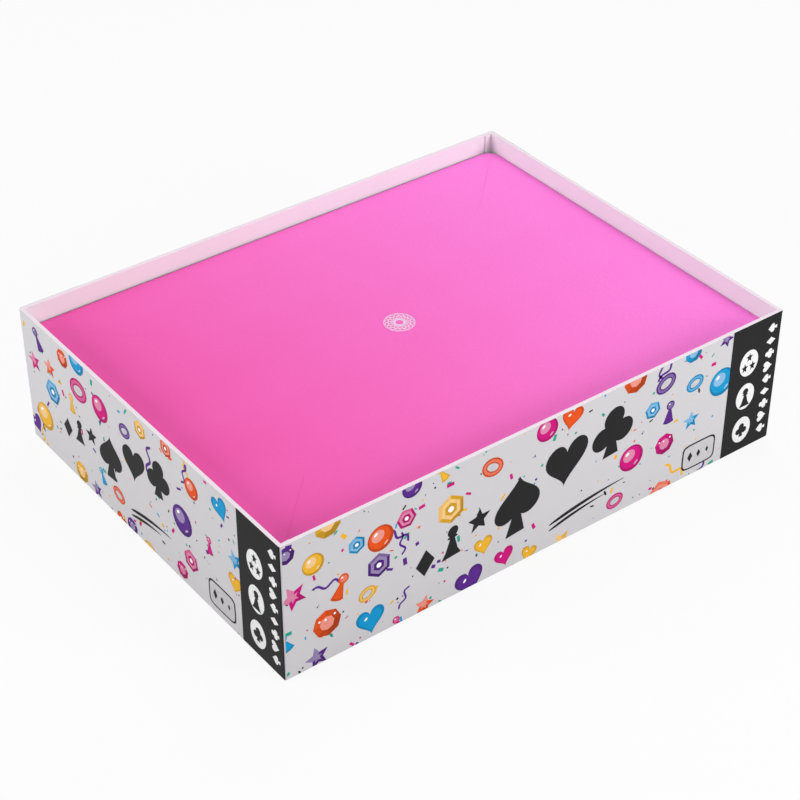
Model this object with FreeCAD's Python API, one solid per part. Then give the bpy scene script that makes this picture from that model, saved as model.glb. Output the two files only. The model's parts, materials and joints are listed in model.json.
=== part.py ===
import FreeCAD, Part
import math
import os

# A dice tray: an open rigid box of wrapped board. A folding mat lies on a card insert inside it.
# Millimetres. The origin is the middle of the box's underside, +X runs along the long side,
# +Y along the short side and +Z up. The mat is drawn flat, as it is stored in the box.

# The box, outside
box_length = 300.0
box_width = 228.0
box_height = 78.0
corner_radius = 1.0  # of the four upright edges
rim_radius = 0.35  # of the paper where it folds over the rim
base_radius = 0.9  # of the paper where it folds under the bottom

# The sheets that the box is made of
greyboard = 1.6
wrap_paper = 0.16
liner_paper = 0.15
label_paper = 0.16
stay_tape = 0.10
glue_film = 0.01  # on each side of a glued sheet
corner_slit = 0.10  # where the end walls' board butts against the side walls'

# How far the sheets reach
turn_in = 26.0  # wrap, from the rim down the inside
underlap = 15.0  # wrap, from the outside in under the bottom
label_margin = 2.0  # bare edge round the label on the underside
liner_lap = 6.0  # liner, up over the wrap's turned-in edge
lap_step = 0.05  # below the turned-in edge, where the liner steps over it
stay_leg = 18.0  # corner tape, along each wall
stay_end = 3.0  # bare board above and below a corner tape

# The folded card that carries the mat
insert_card = 1.0
insert_bend = 0.8  # inside radius of its folds
insert_clearance = 0.3  # to the lined walls
shelf_width = 62.0

# The mat
mat_depth = 10.65  # from the rim down to its playing face
end_gap = 1.04  # to the end walls
side_gap = 2.19  # to the side walls
fold_height = 41.0  # from the edge to the fold: the height of a wall when it stands
mat_corner = 7.0
lining = 0.8
mat_board = 1.5
cover = 0.7
lining_edge = 0.4  # bevel of the lining's pressed outer edge
cover_edge = 0.4  # bevel of the cover's turned outer edge
half_crease = 0.15  # lining and cover, back from the line of a fold
half_pinch = 0.55  # lining and cover, back from the fold between two half ears
board_setback = 1.5  # board, back from the line of a fold
board_margin = 0.3  # board, back from the turned edge of the cover
ear_gap = 0.3  # between the two halves of a corner ear when it is closed
tip_relief = 1.5  # bare corner where the folds meet

# The magnets, one in each half of an ear
magnet_radius = 5.0
magnet_thickness = 1.2
magnet_fit = 0.1
magnet_inset = 12.0  # from the wall and from the free edge

# Worked out from the above
lap_space = stay_tape + 2 * glue_film
wall_thickness = greyboard + 2 * (wrap_paper + lap_space)
inside_length = box_length - 2 * wall_thickness
inside_width = box_width - 2 * wall_thickness
wrap_low = label_paper
board_low = wrap_low + wrap_paper + glue_film
board_rim = box_height - wrap_paper - glue_film
board_floor = board_low + greyboard
liner_floor = board_floor + glue_film
insert_low = liner_floor + liner_paper
turn_in_end = box_height - turn_in
mat_length = inside_length - 2 * end_gap
mat_width = inside_width - 2 * side_gap
mat_thickness = lining + mat_board + cover
mat_top = box_height - mat_depth
mat_low = mat_top - mat_thickness
lining_low = mat_top - lining
cover_high = mat_low + cover
base_length = mat_length - 2 * fold_height
base_width = mat_width - 2 * fold_height
# An ear swings 45 degrees about the outer edge of its wall's end, so the wall stops short by this.
ear_shift = mat_thickness * math.tan(math.radians(22.5)) + ear_gap / math.sqrt(2)

tiny = 1e-4  # two heights nearer than this are one
Up = FreeCAD.Vector(0, 0, 1)
# The mat's sides, each a quarter turn on from the one before, and the ears at its two ends
sides = (
    ("front", ("left", "right")),
    ("right", ("front", "back")),
    ("back", ("right", "left")),
    ("left", ("back", "front")),
)


def outline(corners):
    """A closed wire through (x, y, radius) corners, each rounded by an arc tangent to its sides."""
    points = [FreeCAD.Vector(x, y, 0) for x, y, radius in corners]
    edges = []
    stretches = []
    for i, (x, y, radius) in enumerate(corners):
        here = points[i]
        back = (points[i - 1] - here).normalize()
        ahead = (points[(i + 1) % len(points)] - here).normalize()
        half_angle = back.getAngle(ahead) / 2
        reach = radius / math.tan(half_angle)
        start = here + back * reach
        end = here + ahead * reach
        if radius:
            inward = (back + ahead).normalize()
            middle = here + inward * (radius / math.sin(half_angle) - radius)
            edges.append(Part.Arc(start, middle, end).toShape())
        stretches.append((start, end))
    for i, (start, end) in enumerate(stretches):
        following = stretches[(i + 1) % len(stretches)][0]
        edges.append(Part.LineSegment(end, following).toShape())
    return Part.Wire(Part.__sortEdges__(edges))


def prism(corners, low, high):
    face = Part.Face(outline(corners))
    face.translate(Up * low)
    return face.extrude(Up * (high - low))


def block(length, width, radius, low, high):
    """An upright block on the Z axis with rounded upright edges."""
    x, y = length / 2, width / 2
    return prism([(-x, -y, radius), (x, -y, radius), (x, y, radius), (-x, y, radius)], low, high)


def tube(length, width, radius, wall, inner_radius, low, high):
    """The same block with an upright opening through it, which leaves a wall all round."""
    hollow = block(length - 2 * wall, width - 2 * wall, inner_radius, low, high)
    return block(length, width, radius, low, high).cut(hollow)


def level_edges(shape, z):
    """The shape's edges that lie at height z."""
    boxes = [(edge, edge.BoundBox) for edge in shape.Edges]
    return [edge for edge, box in boxes if max(abs(box.ZMin - z), abs(box.ZMax - z)) < tiny]


def wrapped_wall(skin):
    """The box's solid wall, in by that skin from all of the wrap's faces, round under the base."""
    low, high = wrap_low + skin, box_height - skin
    wall = block(box_length - 2 * skin, box_width - 2 * skin, corner_radius - skin, low, high)
    wall = wall.makeFillet(base_radius - skin, level_edges(wall, low))
    return wall.cut(block(inside_length + 2 * skin, inside_width + 2 * skin, 0, low, high))


def printed_wrap():
    """One sheet: round the walls, over the rim and down the inside, and in under the bottom."""
    outside = wrapped_wall(0)
    outside = outside.makeFillet(rim_radius, level_edges(outside, box_height))
    behind = (inside_length + 2 * wrap_paper, inside_width + 2 * wrap_paper)
    below = block(*behind, 0, wrap_low + wrap_paper, turn_in_end)
    sheet = outside.cut(wrapped_wall(wrap_paper)).cut(below)
    flat_length = box_length - 2 * base_radius
    flat_width = box_width - 2 * base_radius
    reach = underlap - base_radius
    underneath = tube(flat_length, flat_width, 0, reach, 0, wrap_low, wrap_low + wrap_paper)
    return sheet.fuse(underneath).removeSplitter()


def box_board():
    """One scored blank, folded up: the side walls run full length, the end walls butt between."""
    skin = wrap_paper + lap_space
    length, width = box_length - 2 * skin, box_width - 2 * skin
    board = block(length, width, corner_radius - skin, board_low, board_rim)
    fold = min(base_radius - wrap_paper - glue_film, corner_radius - skin)
    board = board.makeFillet(fold, level_edges(board, board_low))
    inner_length, inner_width = length - 2 * greyboard, width - 2 * greyboard
    board = board.cut(block(inner_length, inner_width, 0, board_floor, board_rim))
    for side in (-1, 1):
        slit = block(length, corner_slit, 0, board_floor, board_rim)
        slit.translate(FreeCAD.Vector(0, side * (inner_width - corner_slit) / 2, 0))
        board = board.cut(slit)
    return board


def corner_stays():
    """Four strips of tape, each round one upright edge of the board, under the wrap."""
    skin = wrap_paper + glue_film
    length, width = box_length - 2 * skin, box_width - 2 * skin
    radius = corner_radius - skin
    low, high = board_low + base_radius + stay_end, board_rim - stay_end
    band = tube(length, width, radius, stay_tape, radius - stay_tape, low, high)
    band = band.cut(block(length - 2 * stay_leg, width, 0, low, high))
    return band.cut(block(length, width - 2 * stay_leg, 0, low, high))


def base_label():
    """The sheet on the underside, which the box rests on."""
    length, width = box_length - 2 * label_margin, box_width - 2 * label_margin
    return block(length, width, 0, 0, label_paper)


def inner_liner():
    """Paper over the floor and walls; above, it steps out over the wrap's turned-in edge."""
    skin = wrap_paper + lap_space + greyboard + glue_film
    length, width = box_length - 2 * skin, box_width - 2 * skin
    step = turn_in_end - lap_step - liner_paper
    lap_end = turn_in_end + liner_lap
    floor = block(length, width, 0, liner_floor, insert_low)
    walls = tube(length, width, 0, liner_paper, 0, liner_floor, step)
    ledge_width = (length - inside_length) / 2 + liner_paper
    ledge = tube(length, width, 0, ledge_width, 0, step, step + liner_paper)
    lap = tube(inside_length, inside_width, 0, liner_paper, 0, step, lap_end)
    return floor.fuse([walls, ledge, lap]).removeSplitter()


def card_insert():
    """One card, folded like a hat: a flap, a shelf, the well, the other shelf and its flap."""
    half = inside_length / 2 - liner_paper - insert_clearance
    depth = inside_width - 2 * (liner_paper + insert_clearance)
    well = half - shelf_width
    shelf, floor, card = mat_low, insert_low, insert_card
    tight, wide = insert_bend, insert_bend + insert_card
    upper = [
        (half, floor, 0),
        (half, shelf, wide),
        (well, shelf, wide),
        (well, floor + card, tight),
    ]
    lower = [
        (well + card, floor, wide),
        (well + card, shelf - card, tight),
        (half - card, shelf - card, tight),
        (half - card, floor, 0),
    ]
    right = lower + upper
    left = [(-x, z, radius) for x, z, radius in reversed(right)]
    sheet = prism(right + left, 0, depth)
    sheet.rotate(FreeCAD.Vector(), FreeCAD.Vector(1, 0, 0), 90)
    sheet.translate(FreeCAD.Vector(0, depth / 2, 0))
    return sheet


def inset(points, distances):
    """The polygon with each side, from its point to the next, moved inwards by its distance."""
    count = len(points)
    area = sum(
        points[i - 1][0] * points[i][1] - points[i][0] * points[i - 1][1] for i in range(count)
    )
    turn = math.copysign(1, area)
    lines = []
    for i, distance in enumerate(distances):
        (x0, y0), (x1, y1) = points[i], points[(i + 1) % count]
        length = math.hypot(x1 - x0, y1 - y0)
        nx, ny = -turn * (y1 - y0) / length, turn * (x1 - x0) / length
        lines.append((nx, ny, nx * x0 + ny * y0 + distance))
    moved = []
    for i in range(count):
        (a, b, c), (d, e, f) = lines[i - 1], lines[i]
        determinant = a * e - b * d
        moved.append(((c * e - b * f) / determinant, (a * f - c * d) / determinant))
    return moved


def mat_blank(skin, low, high):
    """The whole mat's outline, in by that skin."""
    return block(mat_length - 2 * skin, mat_width - 2 * skin, mat_corner - skin, low, high)


def panel(region, kinds, fold, pinch, low, high):
    """The mat in that region, back from each side by its kind. A free side runs past the edge."""
    back = {"fold": fold, "pinch": pinch, "free": -cover}
    distances = [back[kind] for kind in kinds]
    return prism([(x, y, 0) for x, y in inset(region, distances)], low, high)


def layers(region, kinds, magnet=None):
    """The lining, board and cover of one region of the mat, and its magnet if it has one."""
    cloth = (region, kinds, half_crease, half_pinch)
    stiff = (region, kinds, board_setback, board_setback)
    top = mat_blank(0, lining_low, mat_top)
    top = top.makeChamfer(lining_edge, level_edges(top, mat_top))
    core = mat_blank(cover + board_margin, cover_high, lining_low)
    under = mat_blank(0, mat_low, lining_low)
    under = under.makeChamfer(cover_edge, level_edges(under, mat_low))
    under = under.cut(mat_blank(cover, cover_high, lining_low))
    found = {
        "lining": top.common(panel(*cloth, lining_low, mat_top)),
        "board": core.common(panel(*stiff, cover_high, lining_low)),
        "cover": under.common(panel(*cloth, mat_low, lining_low)),
    }
    if magnet:
        hole = Part.makeCylinder(magnet_radius + magnet_fit, mat_board)
        hole.translate(FreeCAD.Vector(*magnet, cover_high))
        found["board"] = found["board"].cut(hole)
        found["magnet"] = Part.makeCylinder(magnet_radius, magnet_thickness)
        middle = cover_high + (mat_board - magnet_thickness) / 2
        found["magnet"].translate(FreeCAD.Vector(*magnet, middle))
    return found


def turned(points, quarters):
    """The points turned that many quarter turns about the origin."""
    for _ in range(quarters):
        points = [(-y, x) for x, y in points]
    return points


def side_regions(run, reach, quarters):
    """The outlines of one wall and of the half ears at its two ends, with their magnets' centres."""
    end, edge = run - ear_shift, reach + fold_height
    wall = turned([(-end, -reach), (end, -reach), (end, -edge), (-end, -edge)], quarters)
    ear = [
        (-ear_shift, tip_relief),
        (tip_relief, tip_relief),
        (fold_height, fold_height),
        (-ear_shift, fold_height),
    ]
    magnet = (magnet_inset - ear_shift, fold_height - magnet_inset)
    ears = []
    for way in (-1, 1):
        placed = [(way * (run + u), -reach - v) for u, v in ear + [magnet]]
        *region, centre = turned(placed, quarters)
        ears.append((region, centre))
    return wall, ears


def mat_pieces():
    """Every piece of the mat by node name: the base, four walls, and two half ears per corner."""
    x, y = base_length / 2, base_width / 2
    base = [(-x, -y), (x, -y), (x, y), (-x, y)]
    found = {f"mat_base_{kind}": shape for kind, shape in layers(base, ["fold"] * 4).items()}
    for quarters, (side, ends) in enumerate(sides):
        run, reach = (x, y) if quarters % 2 == 0 else (y, x)
        wall, ears = side_regions(run, reach, quarters)
        for kind, shape in layers(wall, ["fold", "fold", "free", "fold"]).items():
            found[f"{side}_wall_{kind}"] = shape
        for end, (region, centre) in zip(ends, ears):
            for kind, shape in layers(region, ["fold", "pinch", "free", "fold"], centre).items():
                found[f"{side}_ear_{end}_{kind}"] = shape
    return found


def pieces():
    found = {
        "box_board": box_board(),
        "corner_stays": corner_stays(),
        "printed_wrap": printed_wrap(),
        "base_label": base_label(),
        "inner_liner": inner_liner(),
        "card_insert": card_insert(),
    }
    found.update(mat_pieces())
    return found


def main():
    os.makedirs("parts", exist_ok=True)
    for name, shape in pieces().items():
        print(name, len(shape.Solids), "solid(s)", round(shape.Volume), "mm3", shape.isValid())
        shape.exportStep(f"parts/{name}.step")


main()
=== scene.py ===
import json
import math
import random

import bmesh
import bpy
from mathutils import Matrix, Vector


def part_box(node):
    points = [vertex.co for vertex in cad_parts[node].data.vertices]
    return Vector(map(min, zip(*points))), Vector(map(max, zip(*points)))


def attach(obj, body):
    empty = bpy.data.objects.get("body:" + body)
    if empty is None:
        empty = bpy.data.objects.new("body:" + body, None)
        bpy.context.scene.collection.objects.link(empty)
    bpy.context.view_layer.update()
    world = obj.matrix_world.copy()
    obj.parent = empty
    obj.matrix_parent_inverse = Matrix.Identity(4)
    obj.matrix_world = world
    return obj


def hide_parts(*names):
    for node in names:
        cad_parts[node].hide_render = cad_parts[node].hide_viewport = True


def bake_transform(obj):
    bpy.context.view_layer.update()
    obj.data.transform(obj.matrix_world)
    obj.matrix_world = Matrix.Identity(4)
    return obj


bl_info = {
    "name": "Dice tray",
    "version": (1, 0, 0),
    "blender": (4, 5, 0),
    "location": "3D View > Sidebar > Dice tray",
    "description": "Printed box papers, velvet rolling mat and studio for the packed dice tray",
    "category": "Object",
}

MM = 0.001
TOUCHING = 1e-6  # two points nearer than this are one
CUT_TOLERANCE = 1e-7
PRINT_RIM = 0.35 * MM  # worn edge along the rim that the print leaves bare
SIDES = (
    ("front", ("left", "right")),
    ("right", ("front", "back")),
    ("back", ("right", "left")),
    ("left", ("back", "front")),
)

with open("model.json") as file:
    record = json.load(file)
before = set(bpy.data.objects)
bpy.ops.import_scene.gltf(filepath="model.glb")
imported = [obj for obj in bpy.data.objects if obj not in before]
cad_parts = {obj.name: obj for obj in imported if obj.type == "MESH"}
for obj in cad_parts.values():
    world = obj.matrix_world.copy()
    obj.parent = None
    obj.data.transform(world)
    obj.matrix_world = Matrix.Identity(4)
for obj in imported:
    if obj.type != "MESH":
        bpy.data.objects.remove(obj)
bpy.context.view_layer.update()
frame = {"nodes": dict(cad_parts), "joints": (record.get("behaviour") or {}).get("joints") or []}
joint_at = {joint["name"]: Vector(joint.get("pos_m", (0, 0, 0))) for joint in frame["joints"]}

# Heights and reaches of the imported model, which the pieces made here keep to
box_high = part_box("printed_wrap")[1]
mat_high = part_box("mat_base_lining")[1].z
lining_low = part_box("mat_base_lining")[0].z
cover_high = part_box("mat_base_cover")[1].z
mat_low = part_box("mat_base_cover")[0].z
mat_half = Vector((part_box("right_wall_cover")[1].x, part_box("back_wall_cover")[1].y))
crease = Vector((joint_at["right_wall_fold"].x, -joint_at["front_wall_fold"].y))
wall_end = Vector((joint_at["front_ear_right_fold"].x, -joint_at["right_ear_front_fold"].y))


def display(red, green, blue):
    """A colour as a screen shows it, from 0 to 255, in the linear values that shaders take."""
    channels = [value / 255 for value in (red, green, blue)]
    return tuple(v / 12.92 if v <= 0.04045 else ((v + 0.055) / 1.055) ** 2.4 for v in channels)


def a_colour(name, description, red, green, blue):
    return bpy.props.FloatVectorProperty(
        name=name, description=description, default=display(red, green, blue),
        size=3, min=0, max=1, subtype="COLOR",
    )


def a_length(name, description, millimetres):
    return bpy.props.FloatProperty(
        name=name, description=description, default=millimetres * MM,
        min=0, precision=5, subtype="DISTANCE", unit="LENGTH",
    )


def a_place(name, description, default):
    return bpy.props.FloatVectorProperty(
        name=name, description=description, default=default, subtype="TRANSLATION", unit="LENGTH"
    )


def a_power(name, description, watts):
    return bpy.props.FloatProperty(name=name, description=description, default=watts, unit="POWER")


class TRAY_PG_papers(bpy.types.PropertyGroup):
    """Papers, card and board of the box."""

    white: a_colour("White paper", "Inside of the wrap", 239, 242, 241)
    liner: a_colour("Liner paper", "Inner liner and base label", 239, 238, 238)
    rim: a_colour("Rim", "Wrap where it is worn over the rim", 238, 225, 234)
    ground: a_colour("Printed ground", "Pale ground of the outside print", 201, 199, 202)
    card: a_colour("Insert card", "Folded card that carries the mat", 240, 239, 236)
    board: a_colour("Greyboard", "Core of the box and of the mat", 150, 145, 136)
    tape: a_colour("Stay tape", "Tape under the wrap at the corners", 214, 190, 150)
    nickel: a_colour("Nickel", "Plating of the magnets", 205, 203, 198)
    lap_width: a_length("Lap width", "Paper lap at each inside corner", 4.4)
    lap_thickness: a_length("Lap thickness", "Paper of the laps", 0.16)
    lap_depth: a_length("Lap depth", "Reach of the laps down from the rim", 25.0)
    lap_lift: a_length("Lap lift", "Free edge of a lap off the wall", 0.4)


class TRAY_PG_print(bpy.types.PropertyGroup):
    """Inks and sizes of the print on the four outer faces."""

    black: a_colour("Black", "Strip, silhouettes and strokes", 36, 36, 37)
    magenta: a_colour("Magenta", "Ink of the small motifs", 205, 20, 125)
    blue: a_colour("Blue", "Ink of the small motifs", 20, 150, 205)
    yellow: a_colour("Yellow", "Ink of the small motifs", 238, 180, 50)
    orange: a_colour("Orange", "Ink of the small motifs", 228, 84, 28)
    purple: a_colour("Purple", "Ink of the small motifs", 92, 42, 138)
    teal: a_colour("Teal", "Ink of the confetti", 40, 160, 140)
    strip_width: a_length("Strip width", "Black strip at the right end of a face", 33.5)
    badge_height: a_length("Badge height", "White ovals on the strip", 15.5)
    motif_smallest: a_length("Smallest motif", "Least height of a motif", 9.5)
    motif_largest: a_length("Largest motif", "Greatest height of a motif", 17.0)
    relief: a_length("Relief", "Step from one ink film to the next", 0.01)
    seed: bpy.props.IntProperty(name="Seed", description="Start of the scatter", default=11)


class TRAY_PG_mat(bpy.types.PropertyGroup):
    """Cloth, edges and creases of the folding mat."""

    # Painted light: the velvet is painted from the first colour below at its shaded left end to the
    # lighter second one at its lit right end.
    velvet: a_colour("Velvet", "Pile of the playing surface", 240, 80, 167)
    painted_light_velvet: a_colour("Velvet nap", "Pile where it is brushed the other way", 255, 127, 222)
    leather: a_colour("Faux leather", "Underside of the mat", 44, 44, 47)
    foil: a_colour("Foil", "Pressed ornament in the middle", 228, 205, 222)
    corner_radius: a_length("Corner radius", "Outer corners of the mat", 7.0)
    lining_edge: a_length("Lining edge", "Rounding of the lining's free edge", 0.25)
    cover_edge: a_length("Cover edge", "Rounding of the cover's turned edge", 0.5)
    cover_lip: a_length("Cover lip", "Cover turned up round the board", 0.7)
    seam: a_length("Seam", "Half of the line between two half ears", 0.025)
    pile_ends: a_length("Pile at the ends", "Velvet past the short edges' boards", 0.8)
    pile_sides: a_length("Pile at the sides", "Velvet past the long edges' boards", 1.2)
    groove: a_length("Groove", "Pressed line along a fold", 0.04)
    hair: a_length("Hair gap", "Between the covers of a wall and of its half ears", 0.02)
    tuck: a_length("Tuck", "Reach of a bending piece past the fold", 1.6)
    tip_relief: a_length("Tip relief", "Cover left off where the folds meet", 1.6)
    foil_width: a_length("Foil ornament", "Width of the pressed ornament", 16.0)
    foil_at: a_place("Foil place", "Middle of the ornament", (0.0019, 0.0036, 0.0))


class TRAY_PG_studio(bpy.types.PropertyGroup):
    """Camera, floor and lamps."""

    lens: bpy.props.FloatProperty(
        name="Lens", description="Focal length on a 36 mm sensor", default=92.55, unit="CAMERA"
    )
    camera_at: a_place("Camera", "Place of the camera", (-0.5078, -0.6737, 0.6405))
    look_along: bpy.props.FloatVectorProperty(
        name="View", description="Direction of view", default=(0.48526, 0.64438, -0.59102),
        subtype="DIRECTION",
    )
    floor_size: a_length("Floor", "Side of the floor", 8000)
    back_power: a_power("Back lamp", "Power of the high lamp behind", 4.0)
    right_power: a_power("Right lamp", "Power of the lamp at the right", 7.0)
    left_power: a_power("Left lamp", "Power of the lamp at the left", 5.5)
    fill: bpy.props.FloatProperty(
        name="Fill", description="Level of the white surround", default=0.4, min=0
    )


# Materials

def set_inputs(node, inputs):
    for key, value in inputs.items():
        node.inputs[key.replace("_", " ")].default_value = value


def add_node(tree, kind, **inputs):
    """A shader node with the given inputs set by name."""
    node = tree.nodes.new(kind)
    set_inputs(node, inputs)
    return node


def feed(tree, socket, value):
    """Gives the socket a constant, or links another node's output to it."""
    if isinstance(value, bpy.types.NodeSocket):
        tree.links.new(value, socket)
    else:
        socket.default_value = value


def compute(tree, operation, *values):
    node = tree.nodes.new("ShaderNodeMath")
    node.operation = operation
    for socket, value in zip(node.inputs, values):
        feed(tree, socket, value)
    return node.outputs["Value"]


def separated(tree, place):
    """The coordinates one by one."""
    split = tree.nodes.new("ShaderNodeSeparateXYZ")
    tree.links.new(place, split.inputs["Vector"])
    return split.outputs


def material(name, roughness, **constants):
    """A material with its tree and the object's own coordinates."""
    made = bpy.data.materials.new(name)
    made.use_nodes = True
    tree = made.node_tree
    set_inputs(tree.nodes["Principled BSDF"], {"Roughness": roughness, **constants})
    return made, tree, tree.nodes.new("ShaderNodeTexCoord").outputs["Object"]


def opaque(colour):
    return (*colour, 1.0)


def noise(tree, place, scale, detail=3.0, stretch=(1, 1, 1)):
    """Noise of that many grains per metre, drawn out along the axes with a low stretch."""
    mapping = tree.nodes.new("ShaderNodeMapping")
    mapping.inputs["Scale"].default_value = stretch
    tree.links.new(place, mapping.inputs["Vector"])
    node = add_node(tree, "ShaderNodeTexNoise", Scale=scale, Detail=detail)
    tree.links.new(mapping.outputs["Vector"], node.inputs["Vector"])
    return node.outputs["Fac"]


def between(tree, factor, first, second, low=0.3, high=0.7):
    """A colour between two others, as the factor goes from low to high."""
    spread = add_node(tree, "ShaderNodeMapRange", From_Min=low, From_Max=high)
    tree.links.new(factor, spread.inputs["Value"])
    mix = tree.nodes.new("ShaderNodeMix")
    mix.data_type = "RGBA"
    tree.links.new(spread.outputs["Result"], mix.inputs["Factor"])
    for socket, colour in ((mix.inputs[6], first), (mix.inputs[7], second)):
        linked = isinstance(colour, bpy.types.NodeSocket)
        feed(tree, socket, colour if linked else opaque(colour))
    return mix.outputs[2]


def coat(made, colour, height, strength, distance):
    """Gives the material its colour and its grain, and hands it back."""
    tree = made.node_tree
    shader = tree.nodes["Principled BSDF"]
    tree.links.new(colour, shader.inputs["Base Color"])
    node = add_node(tree, "ShaderNodeBump", Strength=strength, Distance=distance)
    tree.links.new(height, node.inputs["Height"])
    tree.links.new(node.outputs["Normal"], shader.inputs["Normal"])
    return made


def shaded(colour, share):
    """The colour made that much lighter, or darker where the share is negative."""
    target = 1.0 if share > 0 else 0.0
    return tuple(v + (target - v) * abs(share) for v in colour)


def paper_material(name, colour, roughness=0.6, grain=0.03):
    """Uncoated paper or card: fibres in two sizes and a faint cloudiness."""
    made, tree, place = material(name, roughness, Specular_IOR_Level=0.35)
    clouds = noise(tree, place, 28, 4)
    fibres = noise(tree, place, 900, 2, (1, 0.25, 1))
    cloudy = between(tree, clouds, shaded(colour, -grain), colour)
    tinted = between(tree, fibres, shaded(colour, -grain), cloudy, 0.2, 0.5)
    return coat(made, tinted, fibres, 0.12, 0.00005)


def wrap_material(settings):
    """Laminated wrap: white inside, worn at the rim, the printed ground on the outside."""
    made, tree, place = material("wrap_laminated", 0.42, Specular_IOR_Level=0.45)
    at = separated(tree, place)
    skin = MM
    far_x = compute(tree, "GREATER_THAN", compute(tree, "ABSOLUTE", at["X"]), box_high.x - skin)
    far_y = compute(tree, "GREATER_THAN", compute(tree, "ABSOLUTE", at["Y"]), box_high.y - skin)
    below_rim = compute(tree, "LESS_THAN", at["Z"], box_high.z - 0.1 * MM)
    over_rim = compute(tree, "GREATER_THAN", at["Z"], box_high.z - PRINT_RIM)
    outside = compute(tree, "MULTIPLY", compute(tree, "MAXIMUM", far_x, far_y), below_rim)
    clouds = noise(tree, place, 20, 3)
    ground = between(tree, clouds, shaded(settings.ground, -0.02), settings.ground)
    white = between(tree, clouds, shaded(settings.white, -0.02), settings.white)
    inside = between(tree, over_rim, white, settings.rim, 0.0, 1.0)
    tinted = between(tree, outside, inside, ground, 0.0, 1.0)
    return coat(made, tinted, noise(tree, place, 700, 3), 0.08, 0.00004)


def ink_material():
    """Ink film under the laminate: its colour comes from the print's own attribute."""
    made, tree, place = material("ink_film", 0.5, Specular_IOR_Level=0.05)
    ink = tree.nodes.new("ShaderNodeAttribute")
    ink.attribute_name = "ink"
    darker = tree.nodes.new("ShaderNodeMix")
    darker.data_type = "RGBA"
    darker.blend_type = "MULTIPLY"
    darker.inputs["Factor"].default_value = 1.0
    darker.inputs[7].default_value = (0.9, 0.9, 0.9, 1.0)
    tree.links.new(ink.outputs["Color"], darker.inputs[6])
    mottled = between(tree, noise(tree, place, 450, 3), darker.outputs[2], ink.outputs["Color"])
    return coat(made, mottled, noise(tree, place, 700, 3), 0.08, 0.00004)


def velvet_material(settings):
    """Short pile with painted light: lighter from the left end to the right end, in random patches,
    with single tufts and a sheen.
    """
    made, tree, place = material(
        "velvet_pile",
        0.6,
        Specular_IOR_Level=0.5,
        Specular_Tint=(1.0, 0.5, 1.0, 1.0),
        Sheen_Weight=0.3,
        Sheen_Roughness=0.4,
        Sheen_Tint=opaque(shaded(settings.painted_light_velvet, 0.4)),
    )
    # Painted light: a ramp along the mat from its left end (0) to its right end (1), where more light
    # is painted on.
    lean = add_node(tree, "ShaderNodeMapRange", From_Min=-mat_half.x, From_Max=mat_half.x)
    tree.links.new(separated(tree, place)["X"], lean.inputs["Value"])
    patchy = noise(tree, place, 9, 3, (0.5, 1.6, 1))
    painted_light_ramp_and_patches = compute(tree, "MULTIPLY_ADD", patchy, 0.3, lean.outputs["Result"])
    tufts = noise(tree, place, 1500, 2)
    # Painted light and random patches: the velvet colour at the shaded left end, the lighter
    # painted-light colour at the lit right end.
    painted_light_and_patch_colour = between(tree, painted_light_ramp_and_patches, settings.velvet, settings.painted_light_velvet, 0.15, 1.15)
    piled = between(tree, tufts, shaded(settings.velvet, -0.12), painted_light_and_patch_colour, 0.1, 0.45)
    return coat(made, piled, tufts, 0.25, 0.0002)


def leather_material(settings):
    """Coated cloth: a pebbled grain with darker valleys, worn a little paler on top."""
    made, tree, place = material("leather_grain", 0.46, Specular_IOR_Level=0.4)
    cells = add_node(tree, "ShaderNodeTexVoronoi", Scale=620.0)
    cells.feature = "DISTANCE_TO_EDGE"
    tree.links.new(place, cells.inputs["Vector"])
    wear = noise(tree, place, 60, 4)
    grain = between(
        tree, cells.outputs["Distance"], shaded(settings.leather, -0.45), settings.leather, 0.0, 0.2
    )
    worn = between(tree, wear, grain, shaded(settings.leather, 0.012), 0.45, 0.8)
    return coat(made, worn, cells.outputs["Distance"], 0.5, 0.0004)


def metal_material(name, colour, roughness):
    """Plated or foiled metal with fine scratches."""
    made, tree, place = material(name, roughness, Metallic=1.0)
    scratches = noise(tree, place, 1200, 3, (1, 0.1, 1))
    tinted = between(tree, scratches, shaded(colour, -0.12), colour)
    return coat(made, tinted, scratches, 0.1, 0.00005)


def dress(node, made):
    """Gives a CAD node that stays its finish."""
    mesh = frame["nodes"][node].data
    mesh.materials.clear()
    mesh.materials.append(made)


# Making pieces

def finished(name, shape, made, smooth=12):
    """The shape as an object of its own at the origin, smooth over edges of so few degrees."""
    mesh = bpy.data.meshes.new(name)
    shape.to_mesh(mesh)
    shape.free()
    if smooth:
        mesh.shade_smooth()
        mesh.set_sharp_from_angle(angle=math.radians(smooth))
    mesh.materials.append(made)
    piece = bpy.data.objects.new(name, mesh)
    bpy.context.scene.collection.objects.link(piece)
    return piece


def quarter_turn(quarters):
    return Matrix.Rotation(quarters * math.pi / 2, 4, "Z")


def turned(plane, quarters):
    """A plane's point and direction, given for the front and turned to another side."""
    turn = quarter_turn(quarters)
    return turn @ Vector(plane[0]), turn.to_3x3() @ Vector(plane[1])


def block(low, high):
    """A block between two corners."""
    low, high = Vector(low), Vector(high)
    shape = bmesh.new()
    size = high - low
    place = Matrix.Translation((low + high) / 2) @ Matrix.Diagonal((*size, 1))
    bmesh.ops.create_cube(shape, size=1.0, matrix=place)
    return shape


def edges_where(shape, test):
    """The edges whose two ends and middle all pass the test."""
    found = []
    for edge in shape.edges:
        ends = [vert.co for vert in edge.verts]
        if all(test(point) for point in (*ends, (ends[0] + ends[1]) / 2)):
            found.append(edge)
    return found


def soften(shape, edges, width, segments):
    bmesh.ops.bevel(
        shape, geom=edges, offset=width, segments=segments,
        profile=0.5, affect="EDGES", material=-1,
    )


def only(kind, items):
    """Those of the items that are vertices, edges or faces, as the kind says."""
    return [item for item in items if isinstance(item, kind)]


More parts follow.
